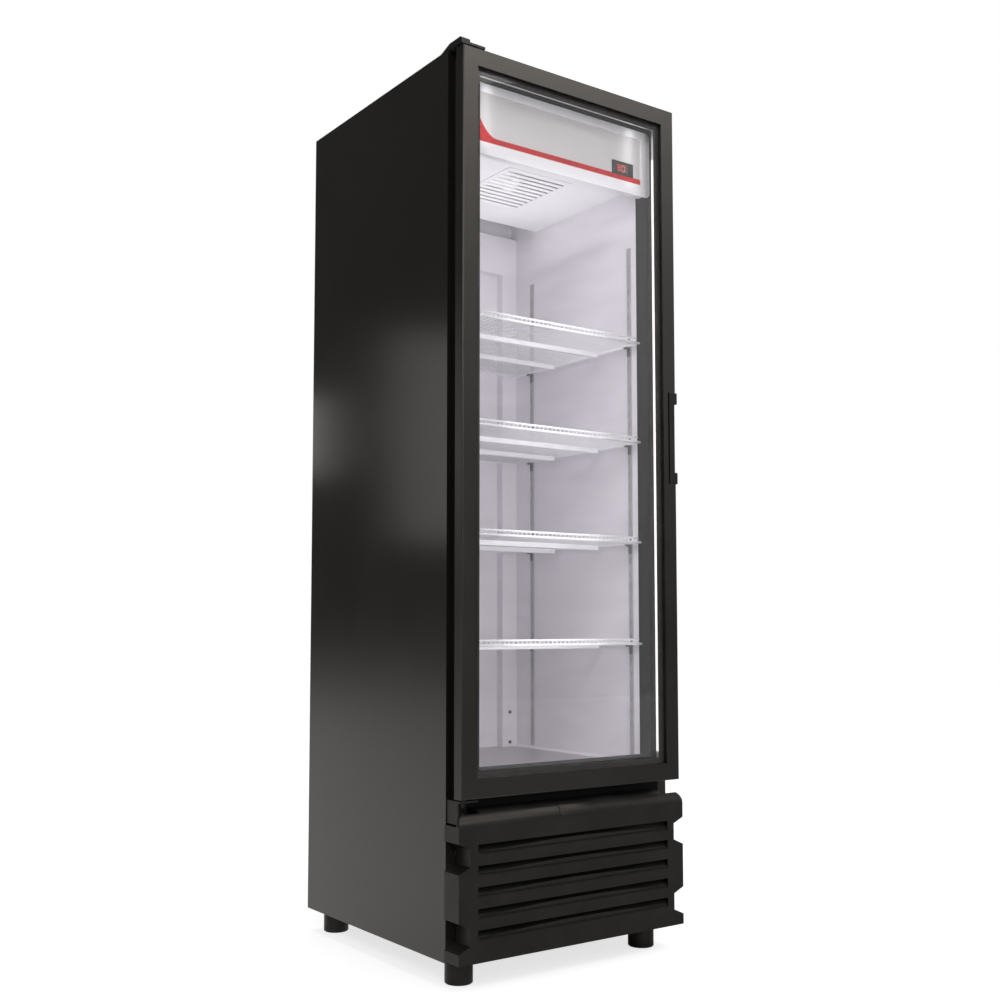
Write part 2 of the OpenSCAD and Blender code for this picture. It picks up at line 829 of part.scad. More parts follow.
module base_pan() {
    color(charcoal) difference() {
        slab([-half_w + skin_t, half_w - skin_t], [face_y + skin_t, back_y], [foot_h, pan_z]);
        stud_holes(stud_clear);
    }
}

// Channels across the base that take the foot studs
module base_rails() {
    rail_x = half_w - skin_t - 2;
    color(charcoal) difference() {
        for (y = foot_ys) difference() {
            slab([-rail_x, rail_x], [y - rail_w / 2, y + rail_w / 2], [pan_z, pan_z + rail_h]);
            slab([-rail_x - 1, rail_x + 1], [y - rail_w / 2 + rail_t, y + rail_w / 2 - rail_t],
                [pan_z - 1, pan_z + rail_h - rail_t]);
        }
        stud_holes(stud_clear);
    }
}

// Levelling foot: round pad with chamfered edges on a stud
module levelling_foot(x, y) {
    pad_top = foot_h - foot_gap;
    chamfer = 2;
    color(black) translate([x, y, 0]) rotate_extrude()
        polygon([[0, 0], [foot_d / 2 - chamfer, 0], [foot_d / 2, chamfer], [foot_d / 2, pad_top - chamfer],
            [foot_d / 2 - chamfer, pad_top], [stud_d / 2, pad_top], [stud_d / 2, stud_top], [0, stud_top]]);
}

module foot_front_left() {
    levelling_foot(-foot_x, foot_ys[0]);
}

module foot_front_right() {
    levelling_foot(foot_x, foot_ys[0]);
}

module foot_rear_left() {
    levelling_foot(-foot_x, foot_ys[1]);
}

module foot_rear_right() {
    levelling_foot(foot_x, foot_ys[1]);
}

// Hermetic compressor: domed shell on a base plate
module compressor() {
    shell_h = 175;
    dome = 40;
    plate_t = 4;
    color(black) translate([comp_x, comp_y, comp_plate_z]) {
        translate([-comp_plate[0] / 2, -comp_plate[1] / 2, 0]) cube([comp_plate[0], comp_plate[1], plate_t]);
        rotate_extrude() intersection() {
            union() {
                translate([0, plate_t]) square([comp_r, shell_h - dome - plate_t]);
                translate([comp_r - dome, shell_h - dome]) circle(dome);
                square([comp_r - dome, shell_h]);
            }
            square([comp_r, shell_h]);
        }
        translate([comp_r - 8, -30, 50]) cube([30, 60, 60]);
    }
}

module compressor_mounts() {
    color(black)
        for (x = [-1, 1], y = [-1, 1])
            translate([comp_x + x * (comp_plate[0] / 2 - 16), comp_y + y * (comp_plate[1] / 2 - 16), pan_z])
                cylinder(d = 24, h = comp_plate_z - pan_z);
}

module condenser_coil() {
    color(charcoal) finned_coil(cond_x, cond_y, [pan_z, cond_top], 16, 8, cond_rows);
}

// Box behind the condenser with a round opening for the fan
module condenser_fan_shroud() {
    t = 1.5;
    color(charcoal) difference() {
        slab(cond_x, [cond_y[1], cond_y[1] + shroud_depth], [pan_z, cond_top]);
        slab([cond_x[0] + t, cond_x[1] - t], [cond_y[1] - 1, cond_y[1] + shroud_depth - t],
            [pan_z + t, cond_top - t]);
        bar_y(cfan_x, cfan_z, cfan_d + 14, cond_y[1], cond_y[1] + shroud_depth + 1);
    }
}

module condenser_fan_motor() {
    length = 56;
    color(charcoal) {
        translate([cfan_x, cmotor_y, cfan_z]) rotate([-90, 0, 0]) fan_motor(cmotor_d, length, fan_h);
        slab([cfan_x - 30, cfan_x + 30], [cmotor_y + 20, cmotor_y + 24], [pan_z, cfan_z]);
        slab([cfan_x - 30, cfan_x + 30], [cmotor_y + 20, cmotor_y + 60], [pan_z, pan_z + 3]);
    }
}

module condenser_fan() {
    color(steel) translate([cfan_x, cfan_y, cfan_z]) rotate([-90, 0, 0]) axial_fan(cfan_d, 5, 44);
}

module drain_pan() {
    x = [cond_x[1] + 20, half_w - 25];
    y = [face_y + 80, face_y + 230];
    z = [pan_z, pan_z + 40];
    t = 2;
    color(white) difference() {
        slab(x, y, z);
        slab([x[0] + t, x[1] - t], [y[0] + t, y[1] - t], [z[0] + t, z[1] + 1]);
    }
}

// Suction, discharge and liquid lines; two of them rise behind the left rear post
module refrigerant_lines() {
    butt = 6 + seat_gap;
    coil_y = coil_back - coil_d / 2;
    coil_pitch = (coil_z1 - coil_z0) / (coil_rows + 1);
    rise = [coil_z0 + 2 * coil_pitch, coil_z0 + 3 * coil_pitch];
    coil_end = -coil_x - butt;
    cond_mid = (cond_y[0] + cond_y[1]) / 2;
    cond_pitch = (cond_top - pan_z) / (cond_rows + 1);
    hot_z = pan_z + 2 * cond_pitch;
    liquid_z = pan_z + 4 * cond_pitch;
    suction_z = comp_plate_z + 110;
    side_x = cond_x[0] - 20;
    drier_y = cond_y[1] + 160;
    color(copper) {
        tube_run([[comp_x - comp_r - seat_gap, comp_y, suction_z], [line_x[0], comp_y, suction_z],
            [line_x[0], line_y, suction_z], [line_x[0], line_y, rise[0]], [line_x[0], coil_y, rise[0]],
            [coil_end, coil_y, rise[0]]], suction_d);
        tube_run([[comp_x, comp_y - comp_r - seat_gap, hot_z], [comp_x, cond_mid, hot_z],
            [cond_x[1] + butt, cond_mid, hot_z]], liquid_d);
        tube_run([[cond_x[0] - butt, cond_mid, liquid_z], [side_x, cond_mid, liquid_z],
            [side_x, line_y, liquid_z], [line_x[1], line_y, liquid_z], [line_x[1], line_y, rise[1]],
            [line_x[1], coil_y, rise[1]], [coil_end, coil_y, rise[1]]], liquid_d);
        bar_y(side_x, liquid_z, drier_d, drier_y - 55, drier_y + 55);
    }
}

// Vented cover of the machine room, set in from the back
module rear_cover() {
    vents = 9;
    color(charcoal) difference() {
        slab([-half_w + skin_t + fit, half_w - skin_t - fit], [cover_y, cover_y + skin_t], [pan_z, deck_z]);
        screw_holes(cover_screws, cover_y);
        bar_y(gland_x, gland_z, gland_d + 2 * fit, cover_y - 9, cover_y + 9);
        for (x = cover_vent_xs, i = [0:vents - 1])
            slab([x - cover_vent_len / 2, x + cover_vent_len / 2], [cover_y - 1, cover_y + skin_t + 1],
                [pan_z + 60 + i * 24, pan_z + 68 + i * 24]);
    }
}

// Gland for the mains lead: flange outside, sleeve through the cover, ring inside
module cord_gland() {
    color(black) translate([gland_x, cover_y + skin_t, gland_z]) rotate([-90, 0, 0]) difference() {
        union() {
            cylinder(d = gland_d + 8, h = 4);
            translate([0, 0, -skin_t - 8]) cylinder(d = gland_d, h = skin_t + 9);
            translate([0, 0, -skin_t - 5]) cylinder(d = gland_d + 8, h = 5);
        }
        translate([0, 0, -20]) cylinder(d = gland_bore, h = 30);
    }
}

// Front outline of the grille, drawn inwards by an inset
module grille_outline(inset) {
    r = grille_r - inset;
    difference() {
        union() {
            translate([-grille_x + inset, grille_low + inset])
                square([2 * (grille_x - inset), grille_high - grille_r - grille_low - inset]);
            translate([-grille_x + grille_r, grille_low + inset])
                square([2 * (grille_x - grille_r), grille_high - grille_low - 2 * inset]);
            for (x = [-1, 1]) translate([x * (grille_x - grille_r), grille_high - grille_r]) circle(r);
        }
        for (x = [-1, 1], z = notch_zs) translate([x * grille_x, z]) scale([x, 1]) notch_outline(inset);
    }
}

// Side notch: mouth at x = 0, straight inner edge at -notch_d
module notch_outline(inset) {
    deep = notch_d + inset;
    half = notch_flat / 2 + inset;
    polygon([[-deep, -half], [1, -half - notch_slant * (deep + 1) / notch_d],
        [1, half + notch_slant * (deep + 1) / notch_d], [-deep, half]]);
}

// Side view of the grille with its rounded top bar, drawn inwards by an inset
module grille_side(inset) {
    y0 = grille_y + inset;
    r = grille_r - inset;
    translate([y0, grille_low - 1]) square([face_y - y0 + inset, grille_high - grille_r - grille_low + 1]);
    translate([grille_y + grille_r, grille_low - 1])
        square([face_y - grille_y - grille_r + inset, grille_high - inset - grille_low + 1]);
    translate([grille_y + grille_r, grille_high - grille_r]) circle(r);
}

module grille_form(inset) {
    intersection() {
        plate_xz(grille_y - 1, grille_proud + 1 + inset) grille_outline(inset);
        plate_yz(-grille_x - 1, 2 * grille_x + 2) grille_side(inset);
    }
}

// Louvre slot: straight top edge, lower edge rising to the middle
module vent_outline(z) {
    bow_r = (vent_x * vent_x + vent_bow * vent_bow) / (2 * vent_bow);
    difference() {
        translate([-vent_x, z - vent_h / 2]) square([2 * vent_x, vent_h]);
        translate([0, z - vent_h / 2 + vent_bow - bow_r]) circle(bow_r, $fn = 1440);
    }
}

// Moulded kick grille: shell with notches, bowed slots over creases, inclined blades and a raised tab
module front_grille() {
    tab_angle = 50;
    color(black) difference() {
        union() {
            difference() {
                grille_form(0);
                grille_form(grille_wall);
                for (z = vent_zs) {
                    plate_xz(grille_y - 2, grille_wall + 3) vent_outline(z);
                    slab([-vent_x, vent_x], [grille_y - 2, grille_y + crease_d],
                        [z - vent_h / 2 - crease_h, z - vent_h / 2 + crease_lap]);
                }
            }
            for (z = vent_zs)
                translate([-vent_x - 3, grille_y + grille_wall - 1, z - vent_h / 2 - blade_t])
                    rotate([blade_tilt, 0, 0]) cube([2 * vent_x + 6, blade_len, blade_t]);
            plate_yz(-tab_len / 2, tab_len) translate([grille_y + grille_r, grille_high - grille_r])
                intersection() {
                    difference() {
                        circle(grille_r + tab_t);
                        circle(grille_r - 1);
                    }
                    polygon([[0, 0], [-2 * grille_r, 0],
                        2 * grille_r * [-cos(tab_angle), sin(tab_angle)]]);
                }
        }
        both_sides()
            slab([grille_x - corner_in, grille_x + 1], [face_y - corner_front, face_y + 1],
                [grille_high - corner_drop, grille_high + 1]);
    }
}

// Steel plate on the cabinet top that carries the upper pin over the door
module upper_hinge_bracket() {
    color(steel) difference() {
        slab([-half_w + 2, -half_w + 2 + hinge_w], [face_y - bracket_reach, face_y + bracket_back],
            [cabinet_h, cabinet_h + bracket_t - 1]);
        translate([pivot_x, pivot_y, cabinet_h - 1]) cylinder(d = pin_d + fit, h = bracket_t + 2);
    }
}

// Side view of the hinge cover, open underneath for the bracket
module cover_outline(h) {
    front = face_y - bracket_reach - 2;
    rear = face_y + cover_back;
    under = cabinet_h + bracket_t - 1;
    low = door_high + cover_skirt;
    inner = face_y + bracket_back + fit;
    polygon([[rear, cabinet_h], [rear - cover_slope * h / cover_h, cabinet_h + h],
        [front + 5, cabinet_h + h], [front, cabinet_h + h - 4], [front, low],
        [front + cover_skin, low], [front + cover_skin, under],
        [inner, under], [inner, cabinet_h]]);
}

// End of the hinge cover, closed down to just above the door
module cover_end() {
    front = face_y - bracket_reach - 2;
    low = door_high + cover_skirt;
    inner = face_y + bracket_back + fit + 1;
    polygon([[front, low], [face_y - fit, low], [face_y - fit, cabinet_h], [inner, cabinet_h],
        [inner, cabinet_h + bracket_t], [front + 5, cabinet_h + bracket_t],
        [front, cabinet_h + bracket_t - 2]]);
}

module hinge_cover() {
    left = -half_w + 0.5;
    color(black) {
        plate_yz(left, cover_w + 0.1) cover_outline(cover_h);
        plate_yz(left + cover_w, hinge_w + 4 - cover_w) cover_outline(cover_step);
        plate_yz(left, cover_cap) cover_end();
        plate_yz(left + hinge_w + 4 - cover_cap, cover_cap) cover_end();
    }
}

// Angle bracket under the door: plate for the lower pin, back plate on the sill, side gusset
module lower_hinge_bracket() {
    x = [-half_w + 2, -half_w + 2 + hinge_w - 12];
    color(black) difference() {
        union() {
            slab(x, [face_y - bracket_reach, face_y], [lower_plate_z - bracket_t, lower_plate_z]);
            slab(x, [face_y - bracket_t, face_y], [lower_plate_z - bracket_drop, lower_plate_z]);
            slab([x[0], x[0] + bracket_t], [face_y - corner_front + 1, face_y],
                [lower_plate_z - bracket_drop, lower_plate_z]);
        }
        translate([pivot_x, pivot_y, lower_plate_z - 9]) cylinder(d = pin_d + fit, h = 18);
        screw_holes(hinge_screws, face_y);
    }
}

// Upper pin and the lower pin with its thrust collar
module hinge_pins() {
    color(steel) {
        translate([pivot_x, pivot_y, door_high - bush_h + 1])
            cylinder(d = pin_d, h = cabinet_h + bracket_t - 1 - door_high + bush_h - 1);
        translate([pivot_x, pivot_y, lower_plate_z - bracket_t])
            cylinder(d = pin_d, h = bracket_t + collar_h + thrust_gap + bush_h - 1);
        translate([pivot_x, pivot_y, lower_plate_z]) cylinder(d = bush_d - 1, h = collar_h);
    }
}

// Frame profile seen along its length: x runs in from the door edge, y runs back from the front
module frame_profile() {
    difference() {
        polygon([[0, 0], [frame_w, 0], [frame_w, lip_t], [web_w, lip_t], [web_w, door_t], [frame_w, door_t],
            [frame_w, door_t + rear_lip_t], [rear_lip_in, door_t + rear_lip_t], [rear_lip_in, door_t],
            [0, door_t]]);
        difference() {
            translate([-1, -1]) square(frame_r + 1);
            translate([frame_r, frame_r]) circle(frame_r);
        }
    }
}

// Frame member along Z with mitred ends
module frame_bar(length) {
    intersection() {
        linear_extrude(length) frame_profile();
        plate_xz(-1, door_t + rear_lip_t + 2)
            polygon([[0, 0], [0, length], [frame_w, length - frame_w], [frame_w, frame_w]]);
    }
}

// Seats for the hinge bushes through the corner of the frame
module bush_seats() {
    for (z = [door_low - 1, door_high - bush_h])
        translate([pivot_x, pivot_y, z]) cylinder(d = bush_d + fit, h = bush_h + 1);
}

module door_hinge_stile() {
    color(charcoal) difference() {
        translate([-door_x, door_y, door_low]) frame_bar(door_h);
        bush_seats();
    }
}

// Stile with the edge pocket behind the pull
module door_handle_stile() {
    color(charcoal) difference() {
        translate([door_x, door_y, door_low]) mirror([1, 0, 0]) frame_bar(door_h);
        slab([pocket_x0, door_x + 1], [door_y - 1, door_y + grip_t], [handle_low, handle_high]);
        slab([pocket_x1, door_x + 1], [door_y - 1, door_y + door_t - pocket_back], [handle_low, handle_high]);
    }
}

module door_rails() {
    color(charcoal) difference() {
        union() {
            translate([-door_x, door_y, door_high]) rotate([0, 90, 0]) frame_bar(2 * door_x);
            translate([-door_x, door_y, door_low]) mirror([0, 0, 1]) rotate([0, 90, 0]) frame_bar(2 * door_x);
        }
        bush_seats();
    }
}

module glass_panes() {
    color(glass) for (y = [glass_y, glass_y + glass_t + glass_gap])
        slab([-glass_x, glass_x], [y, y + glass_t], [glass_low, glass_high]);
}

module glass_spacer() {
    color(silver)
        door_ring(spacer_u - spacer_w, spacer_u, glass_y + glass_t + border_t, glass_gap - border_t);
}

// Sealant between the panes, with the border that hides the spacer from the front
module edge_seal() {
    color(black) {
        door_ring(web_w + glass_clear, spacer_u - spacer_w, glass_y + glass_t, glass_gap);
        door_ring(spacer_u - spacer_w - 1, spacer_u + led_t + border_over, glass_y + glass_t, border_t);
    }
}

// Light strips on the upright spacer bars
module led_strips() {
    color(white) both_sides()
        slab([door_x - spacer_u - led_t, door_x - spacer_u],
            [glass_y + glass_t + border_t + fit, glass_y + glass_t + glass_gap - 1],
            [door_low + led_low, door_high - led_high]);
}

// Magnetic gasket on the rear lip, in four lengths
module door_gasket() {
    y = [door_y + door_t + rear_lip_t, face_y - gasket_clear];
    inner = door_x - gasket_in - gasket_w;
    color(charcoal) {
        both_sides()
            slab([inner, inner + gasket_w], y, [door_low + gasket_in, door_high - gasket_in]);
        for (z = [door_low + gasket_in, door_high - gasket_in - gasket_w])
            slab([-inner + fit, inner - fit], y, [z, z + gasket_w]);
    }
}

// Edge pull: grip bar in front of the pocket between two end blocks
module door_handle() {
    block_x = [pocket_x1, door_x + handle_proud];
    block_y = [door_y, door_y + door_t - pocket_back];
    color(black) {
        slab([grip_x0, door_x - grip_in], [door_y, door_y + grip_t], [handle_low, handle_high]);
        slab(block_x, block_y, [handle_low, handle_low + handle_end]);
        slab(block_x, block_y, [handle_high - handle_end, handle_high]);
    }
}

module hinge_bushes() {
    color(white) for (z = [door_low, door_high - bush_h])
        translate([pivot_x, pivot_y, z]) difference() {
            cylinder(d = bush_d, h = bush_h);
            translate([0, 0, -1]) cylinder(d = pin_d + 2 * run_clear, h = bush_h + 2);
        }
}

// Pan-head screw driven towards +Y, head seated on plane y
module screw(place, y) {
    bar_y(place[0], place[1], screw_head, y - screw_head_t, y);
    bar_y(place[0], place[1], screw_d, y - screw_head_t, y + screw_len);
}

// Screws of the rear posts, the lower hinge and the rear cover
module fasteners() {
    color(steel) {
        for (s = post_screws) screw(s, post_y);
        for (s = hinge_screws) screw(s, face_y - bracket_t);
        for (s = cover_screws) mirror([0, 1, 0]) screw(s, -cover_y - skin_t);
    }
}

module shelf_1() {
    wire_shelf(shelf_tops[0]);
}

module shelf_2() {
    wire_shelf(shelf_tops[1]);
}

module shelf_3() {
    wire_shelf(shelf_tops[2]);
}

module shelf_4() {
    wire_shelf(shelf_tops[3]);
}

left_side_panel();
right_side_panel();
top_panel();
back_panel();
front_sill();
foam_walls();
liner_walls();
liner_floor();
breaker_strips();
rear_posts();
rear_header();
shelf_pilasters();
shelf_clips();
canopy_tray();
intake_louvre();
sign_frame();
sign_panel();
thermostat_case();
thermostat_window();
key_up();
key_down();
evaporator_coil();
evaporator_fan_motor();
evaporator_fan();
base_pan();
base_rails();
foot_front_left();
foot_front_right();
foot_rear_left();
foot_rear_right();
compressor();
compressor_mounts();
condenser_coil();
condenser_fan_shroud();
condenser_fan_motor();
condenser_fan();
drain_pan();
refrigerant_lines();
rear_cover();
cord_gland();
front_grille();
upper_hinge_bracket();
hinge_cover();
lower_hinge_bracket();
hinge_pins();
door_hinge_stile();
door_handle_stile();
door_rails();
glass_panes();
glass_spacer();
edge_seal();
led_strips();
door_gasket();
door_handle();
hinge_bushes();
shelf_1();
shelf_2();
shelf_3();
shelf_4();
fasteners();
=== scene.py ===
import math

import bmesh
import bpy
from mathutils import Matrix, Vector


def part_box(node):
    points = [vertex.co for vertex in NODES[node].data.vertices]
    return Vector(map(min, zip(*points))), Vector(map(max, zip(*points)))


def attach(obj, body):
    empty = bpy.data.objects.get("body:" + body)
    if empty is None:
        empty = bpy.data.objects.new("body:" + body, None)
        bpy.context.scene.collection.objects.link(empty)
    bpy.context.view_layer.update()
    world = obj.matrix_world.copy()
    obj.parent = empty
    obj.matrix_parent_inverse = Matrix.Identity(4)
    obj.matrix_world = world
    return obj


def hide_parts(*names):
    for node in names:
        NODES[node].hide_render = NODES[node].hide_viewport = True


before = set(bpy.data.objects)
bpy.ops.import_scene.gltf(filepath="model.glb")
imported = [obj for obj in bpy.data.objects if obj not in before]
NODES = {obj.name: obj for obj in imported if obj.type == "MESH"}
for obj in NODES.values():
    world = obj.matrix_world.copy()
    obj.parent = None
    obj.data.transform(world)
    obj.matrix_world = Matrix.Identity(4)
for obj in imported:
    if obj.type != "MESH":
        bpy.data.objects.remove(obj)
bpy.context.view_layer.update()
scene = bpy.context.scene
scene.view_settings.view_transform = "Standard"

# Plane of the cabinet's front flange, from which depths are counted
FACE_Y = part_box("front_sill")[0][1]

# Camera: place and reach in metres, turn right and tilt up in degrees, lens and sensor in millimetres
CAMERA_PLACE = (-1.7135, FACE_Y - 2.1490, 0.7464)
CAMERA_REACH = 100.0
CAMERA_YAW = 35.66
CAMERA_PITCH = 4.13
CAMERA_LENS = 43.98
CAMERA_SENSOR = 36.0
CAMERA_SHIFT_Y = 0.037


def add_camera():
    data = bpy.data.cameras.new("camera")
    data.sensor_width = CAMERA_SENSOR
    data.lens = CAMERA_LENS
    data.shift_y = CAMERA_SHIFT_Y
    data.clip_end = CAMERA_REACH
    camera = bpy.data.objects.new("camera", data)
    camera.location = CAMERA_PLACE
    camera.rotation_euler = (math.radians(90 + CAMERA_PITCH), 0.0, math.radians(-CAMERA_YAW))
    scene.collection.objects.link(camera)
    scene.camera = camera


add_camera()


# Materials

# Values that a noise texture mostly keeps to, and those of two added together
NOISE_RANGE = (0.3, 0.7)
SUM_RANGE = (0.7, 1.3)
FULL_RANGE = (0.0, 1.0)
# A Mix node's inputs for two numbers and for two colours, and its output for a colour
MIX_NUMBERS = (2, 3)
MIX_COLOURS = (6, 7)
MIX_COLOUR_OUT = 2


class Tree:
    """Node tree of a material or world with short ways to add and link nodes."""

    def __init__(self, owner, output="ShaderNodeOutputMaterial"):
        owner.use_nodes = True
        self.owner = owner
        self.nodes = owner.node_tree.nodes
        self.links = owner.node_tree.links
        self.nodes.clear()
        self.output = self.nodes.new(output)

    def add(self, kind, **settings):
        node = self.nodes.new(kind)
        for key, value in settings.items():
            setattr(node, key, value)
        return node

    def link(self, source, target):
        self.links.new(source, target)

    def feed(self, socket, value):
        """Give a socket a number, a colour or the output of another node."""
        if isinstance(value, float):
            socket.default_value = value
        elif isinstance(value, tuple):
            socket.default_value = (*value, 1.0)
        else:
            self.link(value, socket)

    def combine(self, operation, *values):
        node = self.add("ShaderNodeMath", operation=operation)
        for socket, value in zip(node.inputs, values):
            self.feed(socket, value)
        return node.outputs[0]

    def pick(self, factor, first, second):
        """Number between two others."""
        node = self.add("ShaderNodeMix")
        self.link(factor, node.inputs[0])
        for index, value in zip(MIX_NUMBERS, (first, second)):
            self.feed(node.inputs[index], value)
        return node.outputs[0]

    def blend(self, factor, first, second):
        """Colour between two others."""
        node = self.add("ShaderNodeMix", data_type="RGBA")
        self.link(factor, node.inputs[0])
        for index, value in zip(MIX_COLOURS, (first, second)):
            self.feed(node.inputs[index], value)
        return node.outputs[MIX_COLOUR_OUT]

    def coordinates(self, stretch=(1.0, 1.0, 1.0)):
        place = self.add("ShaderNodeTexCoord")
        mapping = self.add("ShaderNodeMapping")
        mapping.inputs["Scale"].default_value = stretch
        self.link(place.outputs["Object"], mapping.inputs["Vector"])
        return mapping.outputs["Vector"]

    def split(self, vector):
        node = self.add("ShaderNodeSeparateXYZ")
        self.link(vector, node.inputs[0])
        return node.outputs

    def noise(self, vector, scale, detail=3.0):
        node = self.add("ShaderNodeTexNoise")
        node.inputs["Scale"].default_value = scale
        node.inputs["Detail"].default_value = detail
        self.link(vector, node.inputs["Vector"])
        return node.outputs["Fac"]

    def span(self, value, low, high, source=NOISE_RANGE, smooth=False):
        """Number from low to high as the value goes through its source range."""
        node = self.add("ShaderNodeMapRange", interpolation_type="SMOOTHSTEP" if smooth else "LINEAR")
        node.inputs["From Min"].default_value = source[0]
        node.inputs["From Max"].default_value = source[1]
        node.inputs["To Min"].default_value = low
        node.inputs["To Max"].default_value = high
        self.link(value, node.inputs["Value"])
        return node.outputs["Result"]

    def principled(self, **values):
        node = self.add("ShaderNodeBsdfPrincipled")
        for key, value in values.items():
            node.inputs[key.replace("_", " ")].default_value = value
        return node

    def show(self, shader):
        self.link(shader.outputs[0], self.output.inputs["Surface"])
        return self.owner


def material_tree(name):
    return Tree(bpy.data.materials.new(name))


def finish_surface(name, dark, light, rough, patch=6.0, grain=900.0, grain_detail=2.0,
                   bump=0.05, depth=0.0004, stretch=(1.0, 1.0, 1.0), **values):
    """A surface with patchy colour, uneven gloss and a fine grain."""
    tree = material_tree(name)
    vector = tree.coordinates(stretch)
    patches = tree.noise(vector, patch)
    fine = tree.noise(vector, grain, grain_detail)
    shader = tree.principled(**values)
    tree.link(tree.blend(tree.span(patches, 0.0, 1.0), dark, light), shader.inputs["Base Color"])
    mixed = tree.combine("ADD", patches, fine)
    tree.link(tree.span(mixed, rough[0], rough[1], SUM_RANGE), shader.inputs["Roughness"])
    bumps = tree.add("ShaderNodeBump")
    bumps.inputs["Strength"].default_value = bump
    bumps.inputs["Distance"].default_value = depth
    tree.link(fine, bumps.inputs["Height"])
    tree.link(bumps.outputs["Normal"], shader.inputs["Normal"])
    return tree.show(shader)


def glass_material(name, dark, light, passed, ior, patch=5.0, haze=0.012):
    """Clear pane with faint smears, which lets lamp light through to what is behind it."""
    tree = material_tree(name)
    smears = tree.noise(tree.coordinates(), patch)
    shader = tree.principled(Transmission_Weight=1.0, IOR=ior)
    tree.link(tree.blend(tree.span(smears, 0.0, 1.0), dark, light), shader.inputs["Base Color"])
    tree.link(tree.span(smears, 0.0, haze), shader.inputs["Roughness"])
    clear = tree.add("ShaderNodeBsdfTransparent")
    tree.feed(clear.inputs["Color"], passed)
    path = tree.add("ShaderNodeLightPath").outputs
    mix = tree.add("ShaderNodeMixShader")
    tree.link(tree.combine("MAXIMUM", path["Is Shadow Ray"], path["Is Diffuse Ray"]), mix.inputs[0])
    tree.link(shader.outputs["BSDF"], mix.inputs[1])
    tree.link(clear.outputs["BSDF"], mix.inputs[2])
    return tree.show(mix)


def glow_material(name, colour, strength, patch=30.0, dullest=0.9):
    """Lit surface whose brightness drifts slightly along its length."""
    tree = material_tree(name)
    drift = tree.noise(tree.coordinates(), patch)
    shader = tree.principled(Roughness=0.4, Emission_Strength=strength)
    duller = tuple(dullest * part for part in colour)
    lit = tree.blend(tree.span(drift, 0.0, 1.0), duller, colour)
    tree.link(lit, shader.inputs["Emission Color"])
    tree.link(lit, shader.inputs["Base Color"])
    return tree.show(shader)


def inner_floor_material(name, dark, light, paint, paint_x, rough, metallic=0.6, patch=4.0):
    """Sheet metal floor, painted beyond paint_x on both sides."""
    tree = material_tree(name)
    vector = tree.coordinates()
    painted = tree.combine("GREATER_THAN", tree.combine("ABSOLUTE", tree.split(vector)["X"]), paint_x)
    sheen = tree.noise(vector, patch, detail=1.0)
    shader = tree.principled(Specular_IOR_Level=0.5)
    metal = tree.blend(sheen, dark, light)
    tree.link(tree.blend(painted, metal, paint), shader.inputs["Base Color"])
    tree.link(tree.span(painted, metallic, 0.0, FULL_RANGE), shader.inputs["Metallic"])
    tree.link(tree.span(sheen, rough[0], rough[1], FULL_RANGE), shader.inputs["Roughness"])
    return tree.show(shader)


# Tint of what the black paints and plastics mirror
WARM = (1.0, 0.9, 0.8, 1.0)
# Where the inner floor's painted coves begin, to each side of its middle
COVE_X = 0.256

paint_black = finish_surface(
    "paint_black", (0.006, 0.0058, 0.005), (0.010, 0.0095, 0.0085), (0.15, 0.21),
    patch=2.5, grain=700.0, bump=0.04, Specular_Tint=WARM)
frame_black = finish_surface(
    "frame_black", (0.006, 0.006, 0.006), (0.010, 0.010, 0.010), (0.28, 0.4),
    patch=4.0, grain=1200.0, Specular_IOR_Level=0.42, Specular_Tint=WARM)
plastic_black = finish_surface(
    "plastic_black", (0.005, 0.005, 0.005), (0.009, 0.009, 0.009), (0.36, 0.5),
    patch=12.0, grain=1600.0, bump=0.12, Specular_IOR_Level=0.28, Specular_Tint=WARM)
rubber_black = finish_surface(
    "rubber_black", (0.010, 0.010, 0.010), (0.020, 0.020, 0.020), (0.6, 0.75),
    patch=20.0, grain=1500.0, bump=0.1)
seal_grey = finish_surface(
    "seal_grey", (0.036, 0.033, 0.030), (0.048, 0.044, 0.040), (0.6, 0.75),
    patch=20.0, grain=1500.0, bump=0.1)
# Darkest black, used for the breaker strips and the front sill. On the sill it is painted shade: it is
# darker than the sill's own paint so that it stands for the shadow gap under the door
black_and_painted_shade = finish_surface(
    "black_and_painted_shade", (0.004, 0.004, 0.004), (0.007, 0.007, 0.007), (0.6, 0.7),
    patch=10.0, grain=800.0, bump=0.02, Specular_IOR_Level=0.1)
liner_white = finish_surface(
    "liner_white", (0.77, 0.745, 0.79), (0.83, 0.805, 0.85), (0.38, 0.52),
    patch=7.0, grain=60.0, depth=0.002, stretch=(1.0, 1.0, 4.0))
floor_metal = inner_floor_material(
    "floor_metal", (0.44, 0.425, 0.435), (0.50, 0.48, 0.49), (0.8, 0.775, 0.82), COVE_X, (0.29, 0.36))
plastic_white = finish_surface(
    "plastic_white", (0.84, 0.84, 0.86), (0.9, 0.9, 0.92), (0.3, 0.42),
    patch=8.0, bump=0.04)
wire_white = finish_surface(
    "wire_white", (0.84, 0.84, 0.87), (0.92, 0.92, 0.94), (0.28, 0.4),
    patch=40.0, grain=500.0, bump=0.06)
sign_silver = finish_surface(
    "sign_silver", (0.52, 0.51, 0.51), (0.64, 0.63, 0.63), (0.3, 0.4),
    patch=4.0, grain=600.0, bump=0.03, stretch=(0.4, 1.0, 3.0))
stripe_red = finish_surface(
    "stripe_red", (0.48, 0.003, 0.005), (0.56, 0.005, 0.007), (0.5, 0.6),
    patch=10.0, bump=0.02, Specular_IOR_Level=0.06)
steel = finish_surface(
    "steel", (0.45, 0.46, 0.48), (0.62, 0.63, 0.65), (0.28, 0.42),
    patch=30.0, bump=0.06, Metallic=1.0)
steel_dark = finish_surface(
    "steel_dark", (0.05, 0.05, 0.052), (0.09, 0.09, 0.092), (0.3, 0.42),
    patch=40.0, bump=0.06, Metallic=0.7)
